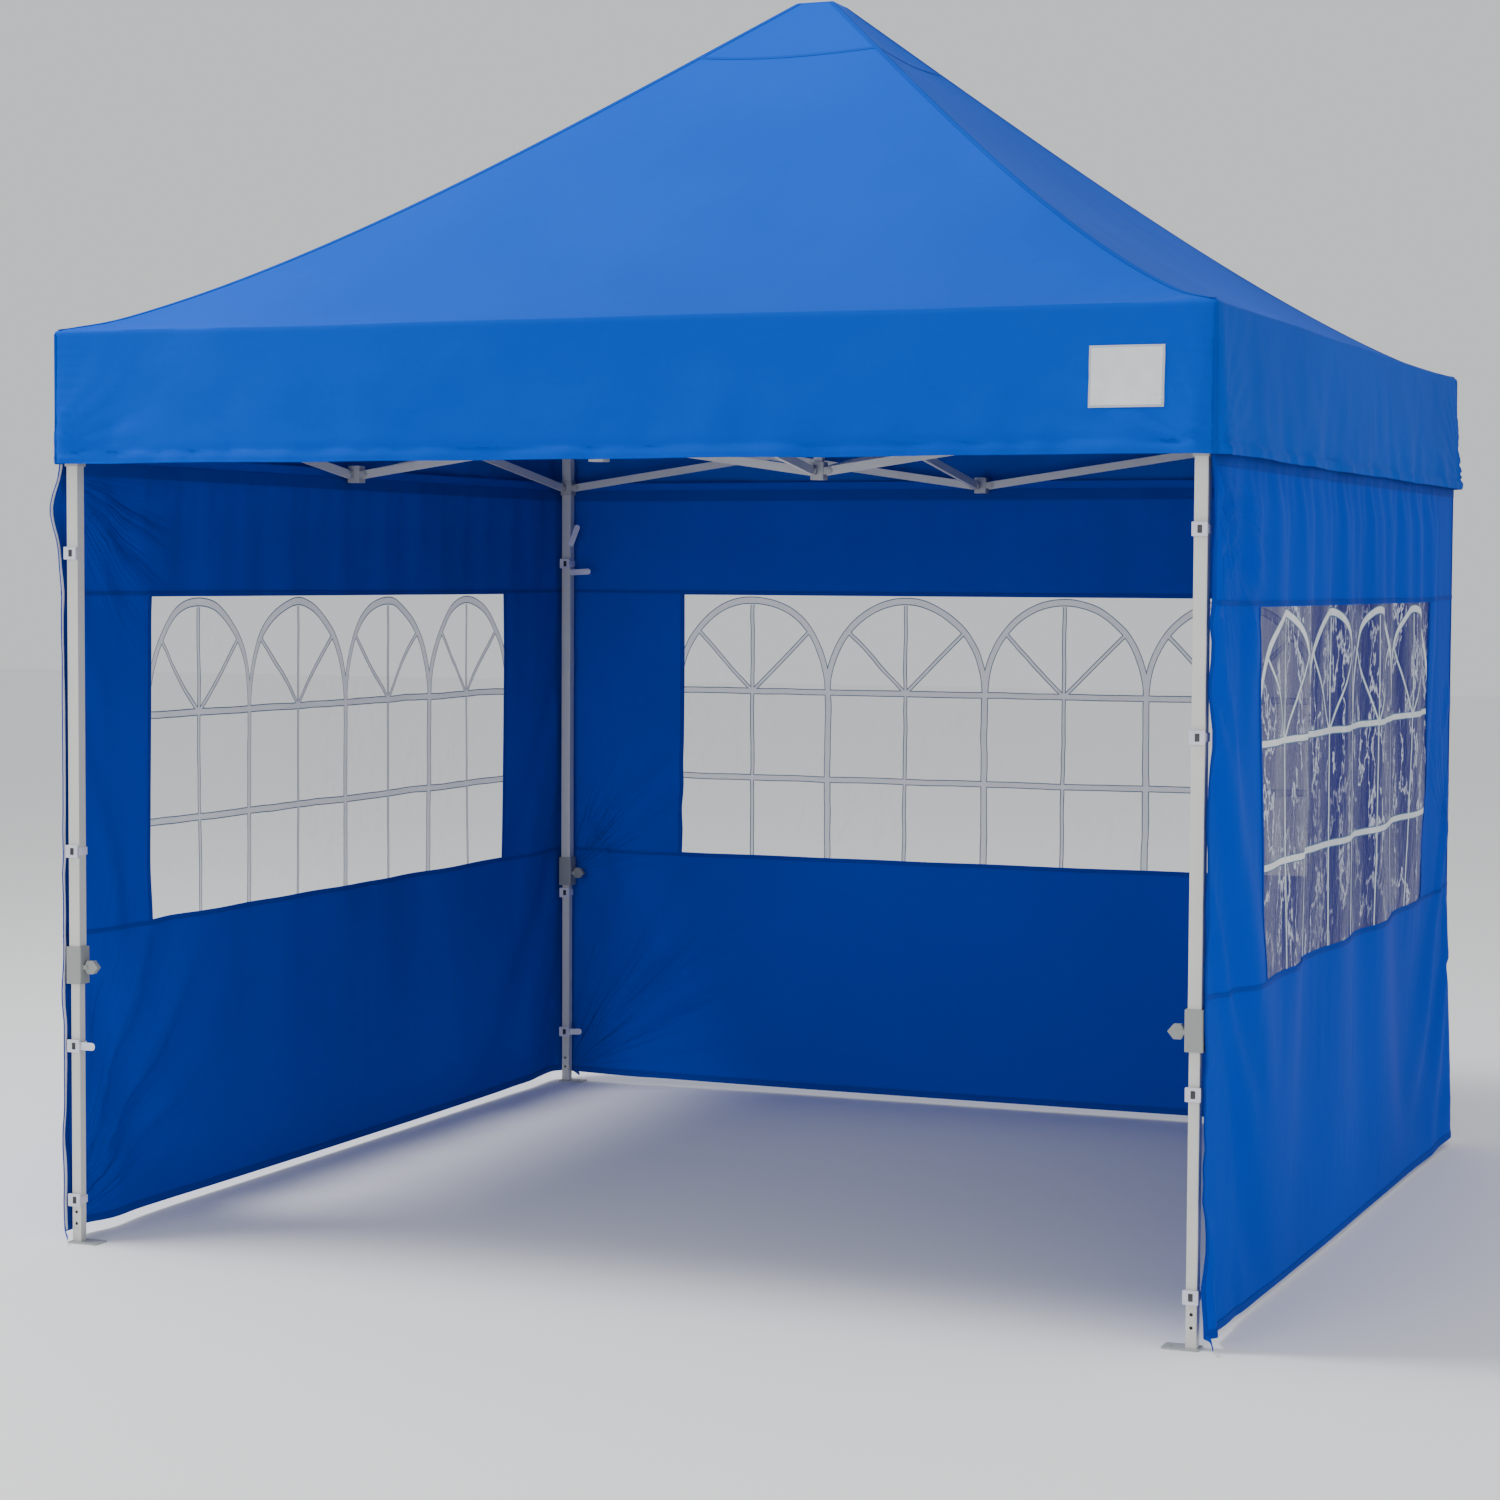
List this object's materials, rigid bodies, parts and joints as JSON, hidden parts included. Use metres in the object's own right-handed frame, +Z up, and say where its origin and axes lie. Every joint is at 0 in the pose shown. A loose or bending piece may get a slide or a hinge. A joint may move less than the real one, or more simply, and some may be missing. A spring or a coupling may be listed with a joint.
{
  "type": "pop up canopy",
  "caption": "Square pop up canopy on a folding scissor frame, with a peaked fabric top, three side walls with clear windows printed with arches, and an open front.",
  "frame": {"origin": "on the ground, under the middle of the canopy", "axes": "+Z up, -Y towards the open front, +X to the right seen from the front"},
  "size_m": [3, 3, 3.3],
  "materials": {
    "roof_fabric": "woven polyester",
    "wall_fabric": "woven polyester",
    "frame_paint": "satin powder coat",
    "bracket_plastic": "moulded",
    "lock_plastic": "moulded",
    "cap_plastic": "moulded",
    "window_film": "clear film",
    "window_print": "printed",
    "webbing": "woven tape",
    "clip_plastic": "moulded"
  },
  "bodies": {
    "upper_hub": {"hub_upper": "bracket_plastic", "canopy_top": "roof_fabric"},
    "centre_bar_front_falling": {"bar_centre_front_falling": "frame_paint"},
    "lower_bracket_front": {"bracket_lower_front": "bracket_plastic"},
    "centre_bar_front_rising": {"bar_centre_front_rising": "frame_paint"},
    "upper_bracket_front": {"bracket_upper_front": "bracket_plastic"},
    "lower_hub": {"hub_lower": "bracket_plastic", "peak_pole": "frame_paint"},
    "peak_tube": {"peak_tube_and_cap": "frame_paint"},
    "centre_bar_back_falling": {"bar_centre_back_falling": "frame_paint"},
    "lower_bracket_back": {"bracket_lower_back": "bracket_plastic"},
    "centre_bar_back_rising": {"bar_centre_back_rising": "frame_paint"},
    "upper_bracket_back": {"bracket_upper_back": "bracket_plastic", "wall_back": "wall_fabric"},
    "centre_bar_left_falling": {"bar_centre_left_falling": "frame_paint"},
    "lower_bracket_left": {"bracket_lower_left": "bracket_plastic"},
    "centre_bar_left_rising": {"bar_centre_left_rising": "frame_paint"},
    "upper_bracket_left": {"bracket_upper_left": "bracket_plastic", "wall_left": "wall_fabric"},
    "centre_bar_right_falling": {"bar_centre_right_falling": "frame_paint"},
    "lower_bracket_right": {"bracket_lower_right": "bracket_plastic"},
    "centre_bar_right_rising": {"bar_centre_right_rising": "frame_paint"},
    "upper_bracket_right": {"bracket_upper_right": "bracket_plastic", "wall_right": "wall_fabric"},
    "front_to_front_left_falling": {"bar_front_to_front_left_falling": "frame_paint"},
    "front_to_front_left_rising": {"bar_front_to_front_left_rising": "frame_paint"},
    "outer_leg_front_left": {"outer_leg_front_left": "frame_paint"},
    "slider_front_left": {"slider_front_left": "bracket_plastic"},
    "front_to_front_right_falling": {"bar_front_to_front_right_falling": "frame_paint"},
    "front_to_front_right_rising": {"bar_front_to_front_right_rising": "frame_paint"},
    "outer_leg_front_right": {"outer_leg_front_right": "frame_paint"},
    "slider_front_right": {"slider_front_right": "bracket_plastic"},
    "back_to_back_right_falling": {"bar_back_to_back_right_falling": "frame_paint"},
    "back_to_back_right_rising": {"bar_back_to_back_right_rising": "frame_paint"},
    "outer_leg_back_right": {"outer_leg_back_right": "frame_paint"},
    "slider_back_right": {"slider_back_right": "bracket_plastic"},
    "back_to_back_left_falling": {"bar_back_to_back_left_falling": "frame_paint"},
    "back_to_back_left_rising": {"bar_back_to_back_left_rising": "frame_paint"},
    "outer_leg_back_left": {"outer_leg_back_left": "frame_paint"},
    "slider_back_left": {"slider_back_left": "bracket_plastic"},
    "left_to_front_left_falling": {"bar_left_to_front_left_falling": "frame_paint"},
    "left_to_front_left_rising": {"bar_left_to_front_left_rising": "frame_paint"},
    "left_to_back_left_falling": {"bar_left_to_back_left_falling": "frame_paint"},
    "left_to_back_left_rising": {"bar_left_to_back_left_rising": "frame_paint"},
    "right_to_back_right_falling": {"bar_right_to_back_right_falling": "frame_paint"},
    "right_to_back_right_rising": {"bar_right_to_back_right_rising": "frame_paint"},
    "right_to_front_right_falling": {"bar_right_to_front_right_falling": "frame_paint"},
    "right_to_front_right_rising": {"bar_right_to_front_right_rising": "frame_paint"},
    "lower_leg_front_left": {"lower_leg_front_left": "frame_paint"},
    "lock_lever_front_left": {"lock_lever_front_left": "lock_plastic"},
    "slider_knob_front_left": {"slider_knob_front_left": "lock_plastic"},
    "lower_leg_front_right": {"lower_leg_front_right": "frame_paint"},
    "lock_lever_front_right": {"lock_lever_front_right": "lock_plastic"},
    "slider_knob_front_right": {"slider_knob_front_right": "lock_plastic"},
    "lower_leg_back_left": {"lower_leg_back_left": "frame_paint"},
    "lock_lever_back_left": {"lock_lever_back_left": "lock_plastic"},
    "slider_knob_back_left": {"slider_knob_back_left": "lock_plastic"},
    "lower_leg_back_right": {"lower_leg_back_right": "frame_paint"},
    "lock_lever_back_right": {"lock_lever_back_right": "lock_plastic"},
    "slider_knob_back_right": {"slider_knob_back_right": "lock_plastic"}
  },
  "joints": [
    {"name": "frame_fold", "type": "hinge", "parent": "upper_hub", "child": "centre_bar_front_falling", "pos_m": [0, -0.03502, 2.215], "axis": [1, 0, 0], "range_deg": [0, 77.8], "deforming": ["canopy_top", "wall_left", "wall_right", "wall_back"]},
    {"name": "lower_bracket_front_pivot", "type": "hinge", "parent": "centre_bar_front_falling", "child": "lower_bracket_front", "pos_m": [0, -1.43018, 2.015], "axis": [1, 0, 0], "range_deg": [-77.8, 0]},
    {"name": "centre_cross_front", "type": "hinge", "parent": "centre_bar_front_falling", "child": "centre_bar_front_rising", "pos_m": [0, -0.7326, 2.115], "axis": [1, 0, 0], "range_deg": [-155.6, 0]},
    {"name": "upper_bracket_front_pivot", "type": "hinge", "parent": "centre_bar_front_rising", "child": "upper_bracket_front", "pos_m": [0, -1.43018, 2.215], "axis": [1, 0, 0], "range_deg": [0, 77.8]},
    {"name": "lower_hub_pivot", "type": "hinge", "parent": "centre_bar_front_rising", "child": "lower_hub", "pos_m": [0, -0.03502, 2.015], "axis": [1, 0, 0], "range_deg": [0, 77.8]},
    {"name": "peak_tube_spring", "type": "slide", "parent": "lower_hub", "child": "peak_tube", "axis": [0, 0, 1], "range_m": [0, 0.19]},
    {"name": "centre_bar_back_falling_at_hub", "type": "hinge", "parent": "upper_hub", "child": "centre_bar_back_falling", "pos_m": [0, 0.03502, 2.215], "axis": [-1, 0, 0], "range_deg": [0, 77.8]},
    {"name": "lower_bracket_back_pivot", "type": "hinge", "parent": "centre_bar_back_falling", "child": "lower_bracket_back", "pos_m": [0, 1.43018, 2.015], "axis": [-1, 0, 0], "range_deg": [-77.8, 0]},
    {"name": "centre_cross_back", "type": "hinge", "parent": "centre_bar_back_falling", "child": "centre_bar_back_rising", "pos_m": [0, 0.7326, 2.115], "axis": [-1, 0, 0], "range_deg": [-155.6, 0]},
    {"name": "upper_bracket_back_pivot", "type": "hinge", "parent": "centre_bar_back_rising", "child": "upper_bracket_back", "pos_m": [0, 1.43018, 2.215], "axis": [-1, 0, 0], "range_deg": [0, 77.8]},
    {"name": "centre_bar_left_falling_at_hub", "type": "hinge", "parent": "upper_hub", "child": "centre_bar_left_falling", "pos_m": [-0.03502, 0, 2.215], "axis": [0, -1, 0], "range_deg": [0, 77.8]},
    {"name": "lower_bracket_left_pivot", "type": "hinge", "parent": "centre_bar_left_falling", "child": "lower_bracket_left", "pos_m": [-1.43018, 0, 2.015], "axis": [0, -1, 0], "range_deg": [-77.8, 0]},
    {"name": "centre_cross_left", "type": "hinge", "parent": "centre_bar_left_falling", "child": "centre_bar_left_rising", "pos_m": [-0.7326, 0, 2.115], "axis": [0, -1, 0], "range_deg": [-155.6, 0]},
    {"name": "upper_bracket_left_pivot", "type": "hinge", "parent": "centre_bar_left_rising", "child": "upper_bracket_left", "pos_m": [-1.43018, 0, 2.215], "axis": [0, -1, 0], "range_deg": [0, 77.8]},
    {"name": "centre_bar_right_falling_at_hub", "type": "hinge", "parent": "upper_hub", "child": "centre_bar_right_falling", "pos_m": [0.03502, 0, 2.215], "axis": [0, 1, 0], "range_deg": [0, 77.8]},
    {"name": "lower_bracket_right_pivot", "type": "hinge", "parent": "centre_bar_right_falling", "child": "lower_bracket_right", "pos_m": [1.43018, 0, 2.015], "axis": [0, 1, 0], "range_deg": [-77.8, 0]},
    {"name": "centre_cross_right", "type": "hinge", "parent": "centre_bar_right_falling", "child": "centre_bar_right_rising", "pos_m": [0.7326, 0, 2.115], "axis": [0, 1, 0], "range_deg": [-155.6, 0]},
    {"name": "upper_bracket_right_pivot", "type": "hinge", "parent": "centre_bar_right_rising", "child": "upper_bracket_right", "pos_m": [1.43018, 0, 2.215], "axis": [0, 1, 0], "range_deg": [0, 77.8]},
    {"name": "front_to_front_left_falling_pivot", "type": "hinge", "parent": "upper_bracket_front", "child": "front_to_front_left_falling", "pos_m": [-0.03502, -1.4652, 2.215], "axis": [0, -1, 0], "range_deg": [0, 77.8]},
    {"name": "front_to_front_left_rising_pivot", "type": "hinge", "parent": "lower_bracket_front", "child": "front_to_front_left_rising", "pos_m": [-0.03502, -1.4652, 2.015], "axis": [0, -1, 0], "range_deg": [-77.8, 0]},
    {"name": "outer_leg_front_left_pivot", "type": "hinge", "parent": "front_to_front_left_rising", "child": "outer_leg_front_left", "pos_m": [-1.43018, -1.4652, 2.215], "axis": [0, -1, 0], "range_deg": [0, 77.8]},
    {"name": "slider_front_left_pivot", "type": "hinge", "parent": "front_to_front_left_falling", "child": "slider_front_left", "pos_m": [-1.43018, -1.4652, 2.015], "axis": [0, -1, 0], "range_deg": [-77.8, 0]},
    {"name": "front_to_front_right_falling_pivot", "type": "hinge", "parent": "upper_bracket_front", "child": "front_to_front_right_falling", "pos_m": [0.03502, -1.4652, 2.215], "axis": [0, 1, 0], "range_deg": [0, 77.8]},
    {"name": "front_to_front_right_rising_pivot", "type": "hinge", "parent": "lower_bracket_front", "child": "front_to_front_right_rising", "pos_m": [0.03502, -1.4652, 2.015], "axis": [0, 1, 0], "range_deg": [-77.8, 0]},
    {"name": "outer_leg_front_right_pivot", "type": "hinge", "parent": "front_to_front_right_rising", "child": "outer_leg_front_right", "pos_m": [1.43018, -1.4652, 2.215], "axis": [0, 1, 0], "range_deg": [0, 77.8]},
    {"name": "slider_front_right_pivot", "type": "hinge", "parent": "front_to_front_right_falling", "child": "slider_front_right", "pos_m": [1.43018, -1.4652, 2.015], "axis": [0, 1, 0], "range_deg": [-77.8, 0]},
    {"name": "back_to_back_right_falling_pivot", "type": "hinge", "parent": "upper_bracket_back", "child": "back_to_back_right_falling", "pos_m": [0.03502, 1.4652, 2.215], "axis": [0, 1, 0], "range_deg": [0, 77.8]},
    {"name": "back_to_back_right_rising_pivot", "type": "hinge", "parent": "lower_bracket_back", "child": "back_to_back_right_rising", "pos_m": [0.03502, 1.4652, 2.015], "axis": [0, 1, 0], "range_deg": [-77.8, 0]},
    {"name": "outer_leg_back_right_pivot", "type": "hinge", "parent": "back_to_back_right_rising", "child": "outer_leg_back_right", "pos_m": [1.43018, 1.4652, 2.215], "axis": [0, 1, 0], "range_deg": [0, 77.8]},
    {"name": "slider_back_right_pivot", "type": "hinge", "parent": "back_to_back_right_falling", "child": "slider_back_right", "pos_m": [1.43018, 1.4652, 2.015], "axis": [0, 1, 0], "range_deg": [-77.8, 0]},
    {"name": "back_to_back_left_falling_pivot", "type": "hinge", "parent": "upper_bracket_back", "child": "back_to_back_left_falling", "pos_m": [-0.03502, 1.4652, 2.215], "axis": [0, -1, 0], "range_deg": [0, 77.8]},
    {"name": "back_to_back_left_rising_pivot", "type": "hinge", "parent": "lower_bracket_back", "child": "back_to_back_left_rising", "pos_m": [-0.03502, 1.4652, 2.015], "axis": [0, -1, 0], "range_deg": [-77.8, 0]},
    {"name": "outer_leg_back_left_pivot", "type": "hinge", "parent": "back_to_back_left_rising", "child": "outer_leg_back_left", "pos_m": [-1.43018, 1.4652, 2.215], "axis": [0, -1, 0], "range_deg": [0, 77.8]},
    {"name": "slider_back_left_pivot", "type": "hinge", "parent": "back_to_back_left_falling", "child": "slider_back_left", "pos_m": [-1.43018, 1.4652, 2.015], "axis": [0, -1, 0], "range_deg": [-77.8, 0]},
    {"name": "left_to_front_left_falling_pivot", "type": "hinge", "parent": "upper_bracket_left", "child": "left_to_front_left_falling", "pos_m": [-1.4652, -0.03502, 2.215], "axis": [1, 0, 0], "range_deg": [0, 77.8]},
    {"name": "left_to_front_left_rising_pivot", "type": "hinge", "parent": "lower_bracket_left", "child": "left_to_front_left_rising", "pos_m": [-1.4652, -0.03502, 2.015], "axis": [1, 0, 0], "range_deg": [-77.8, 0]},
    {"name": "left_to_back_left_falling_pivot", "type": "hinge", "parent": "upper_bracket_left", "child": "left_to_back_left_falling", "pos_m": [-1.4652, 0.03502, 2.215], "axis": [-1, 0, 0], "range_deg": [0, 77.8]},
    {"name": "left_to_back_left_rising_pivot", "type": "hinge", "parent": "lower_bracket_left", "child": "left_to_back_left_rising", "pos_m": [-1.4652, 0.03502, 2.015], "axis": [-1, 0, 0], "range_deg": [-77.8, 0]},
    {"name": "right_to_back_right_falling_pivot", "type": "hinge", "parent": "upper_bracket_right", "child": "right_to_back_right_falling", "pos_m": [1.4652, 0.03502, 2.215], "axis": [-1, 0, 0], "range_deg": [0, 77.8]},
    {"name": "right_to_back_right_rising_pivot", "type": "hinge", "parent": "lower_bracket_right", "child": "right_to_back_right_rising", "pos_m": [1.4652, 0.03502, 2.015], "axis": [-1, 0, 0], "range_deg": [-77.8, 0]},
    {"name": "right_to_front_right_falling_pivot", "type": "hinge", "parent": "upper_bracket_right", "child": "right_to_front_right_falling", "pos_m": [1.4652, -0.03502, 2.215], "axis": [1, 0, 0], "range_deg": [0, 77.8]},
    {"name": "right_to_front_right_rising_pivot", "type": "hinge", "parent": "lower_bracket_right", "child": "right_to_front_right_rising", "pos_m": [1.4652, -0.03502, 2.015], "axis": [1, 0, 0], "range_deg": [-77.8, 0]},
    {"name": "leg_slide_front_left", "type": "slide", "parent": "outer_leg_front_left", "child": "lower_leg_front_left", "axis": [0, 0, 1], "range_m": [0, 0.6]},
    {"name": "lock_lever_front_left_press", "type": "hinge", "parent": "outer_leg_front_left", "child": "lock_lever_front_left", "pos_m": [-1.4352, -1.4652, 0.7125], "axis": [0, -1, 0], "range_deg": [0, 20], "stiffness_Nm_per_rad": 0.5, "springref_deg": -5.73},
    {"name": "slider_knob_front_left_pull", "type": "slide", "parent": "slider_front_left", "child": "slider_knob_front_left", "axis": [0, -1, 0], "range_m": [0, 0.0035], "stiffness_N_per_m": 400, "springref_m": -0.002},
    {"name": "leg_slide_front_right", "type": "slide", "parent": "outer_leg_front_right", "child": "lower_leg_front_right", "axis": [0, 0, 1], "range_m": [0, 0.6]},
    {"name": "lock_lever_front_right_press", "type": "hinge", "parent": "outer_leg_front_right", "child": "lock_lever_front_right", "pos_m": [1.4352, -1.4652, 0.7125], "axis": [0, 1, 0], "range_deg": [0, 20], "stiffness_Nm_per_rad": 0.5, "springref_deg": -5.73},
    {"name": "slider_knob_front_right_pull", "type": "slide", "parent": "slider_front_right", "child": "slider_knob_front_right", "axis": [0, -1, 0], "range_m": [0, 0.0035], "stiffness_N_per_m": 400, "springref_m": -0.002},
    {"name": "leg_slide_back_left", "type": "slide", "parent": "outer_leg_back_left", "child": "lower_leg_back_left", "axis": [0, 0, 1], "range_m": [0, 0.6]},
    {"name": "lock_lever_back_left_press", "type": "hinge", "parent": "outer_leg_back_left", "child": "lock_lever_back_left", "pos_m": [-1.4352, 1.4652, 0.7125], "axis": [0, -1, 0], "range_deg": [0, 20], "stiffness_Nm_per_rad": 0.5, "springref_deg": -5.73},
    {"name": "slider_knob_back_left_pull", "type": "slide", "parent": "slider_back_left", "child": "slider_knob_back_left", "axis": [-1, 0, 0], "range_m": [0, 0.0035], "stiffness_N_per_m": 400, "springref_m": -0.002},
    {"name": "leg_slide_back_right", "type": "slide", "parent": "outer_leg_back_right", "child": "lower_leg_back_right", "axis": [0, 0, 1], "range_m": [0, 0.6]},
    {"name": "lock_lever_back_right_press", "type": "hinge", "parent": "outer_leg_back_right", "child": "lock_lever_back_right", "pos_m": [1.4352, 1.4652, 0.7125], "axis": [0, 1, 0], "range_deg": [0, 20], "stiffness_Nm_per_rad": 0.5, "springref_deg": -5.73},
    {"name": "slider_knob_back_right_pull", "type": "slide", "parent": "slider_back_right", "child": "slider_knob_back_right", "axis": [1, 0, 0], "range_m": [0, 0.0035], "stiffness_N_per_m": 400, "springref_m": -0.002}
  ],
  "couplings": [
    {"joint": "lower_bracket_front_pivot", "follows": "frame_fold", "ratio": -1},
    {"joint": "centre_cross_front", "follows": "frame_fold", "ratio": -2},
    {"joint": "upper_bracket_front_pivot", "follows": "frame_fold", "ratio": 1},
    {"joint": "lower_hub_pivot", "follows": "frame_fold", "ratio": 1},
    {"joint": "peak_tube_spring", "follows": "frame_fold", "m_per_rad": 0.13993},
    {"joint": "centre_bar_back_falling_at_hub", "follows": "frame_fold", "ratio": 1},
    {"joint": "lower_bracket_back_pivot", "follows": "frame_fold", "ratio": -1},
    {"joint": "centre_cross_back", "follows": "frame_fold", "ratio": -2},
    {"joint": "upper_bracket_back_pivot", "follows": "frame_fold", "ratio": 1},
    {"joint": "centre_bar_left_falling_at_hub", "follows": "frame_fold", "ratio": 1},
    {"joint": "lower_bracket_left_pivot", "follows": "frame_fold", "ratio": -1},
    {"joint": "centre_cross_left", "follows": "frame_fold", "ratio": -2},
    {"joint": "upper_bracket_left_pivot", "follows": "frame_fold", "ratio": 1},
    {"joint": "centre_bar_right_falling_at_hub", "follows": "frame_fold", "ratio": 1},
    {"joint": "lower_bracket_right_pivot", "follows": "frame_fold", "ratio": -1},
    {"joint": "centre_cross_right", "follows": "frame_fold", "ratio": -2},
    {"joint": "upper_bracket_right_pivot", "follows": "frame_fold", "ratio": 1},
    {"joint": "front_to_front_left_falling_pivot", "follows": "frame_fold", "ratio": 1},
    {"joint": "front_to_front_left_rising_pivot", "follows": "frame_fold", "ratio": -1},
    {"joint": "outer_leg_front_left_pivot", "follows": "frame_fold", "ratio": 1},
    {"joint": "slider_front_left_pivot", "follows": "frame_fold", "ratio": -1},
    {"joint": "front_to_front_right_falling_pivot", "follows": "frame_fold", "ratio": 1},
    {"joint": "front_to_front_right_rising_pivot", "follows": "frame_fold", "ratio": -1},
    {"joint": "outer_leg_front_right_pivot", "follows": "frame_fold", "ratio": 1},
    {"joint": "slider_front_right_pivot", "follows": "frame_fold", "ratio": -1},
    {"joint": "back_to_back_right_falling_pivot", "follows": "frame_fold", "ratio": 1},
    {"joint": "back_to_back_right_rising_pivot", "follows": "frame_fold", "ratio": -1},
    {"joint": "outer_leg_back_right_pivot", "follows": "frame_fold", "ratio": 1},
    {"joint": "slider_back_right_pivot", "follows": "frame_fold", "ratio": -1},
    {"joint": "back_to_back_left_falling_pivot", "follows": "frame_fold", "ratio": 1},
    {"joint": "back_to_back_left_rising_pivot", "follows": "frame_fold", "ratio": -1},
    {"joint": "outer_leg_back_left_pivot", "follows": "frame_fold", "ratio": 1},
    {"joint": "slider_back_left_pivot", "follows": "frame_fold", "ratio": -1},
    {"joint": "left_to_front_left_falling_pivot", "follows": "frame_fold", "ratio": 1},
    {"joint": "left_to_front_left_rising_pivot", "follows": "frame_fold", "ratio": -1},
    {"joint": "left_to_back_left_falling_pivot", "follows": "frame_fold", "ratio": 1},
    {"joint": "left_to_back_left_rising_pivot", "follows": "frame_fold", "ratio": -1},
    {"joint": "right_to_back_right_falling_pivot", "follows": "frame_fold", "ratio": 1},
    {"joint": "right_to_back_right_rising_pivot", "follows": "frame_fold", "ratio": -1},
    {"joint": "right_to_front_right_falling_pivot", "follows": "frame_fold", "ratio": 1},
    {"joint": "right_to_front_right_rising_pivot", "follows": "frame_fold", "ratio": -1}
  ]
}
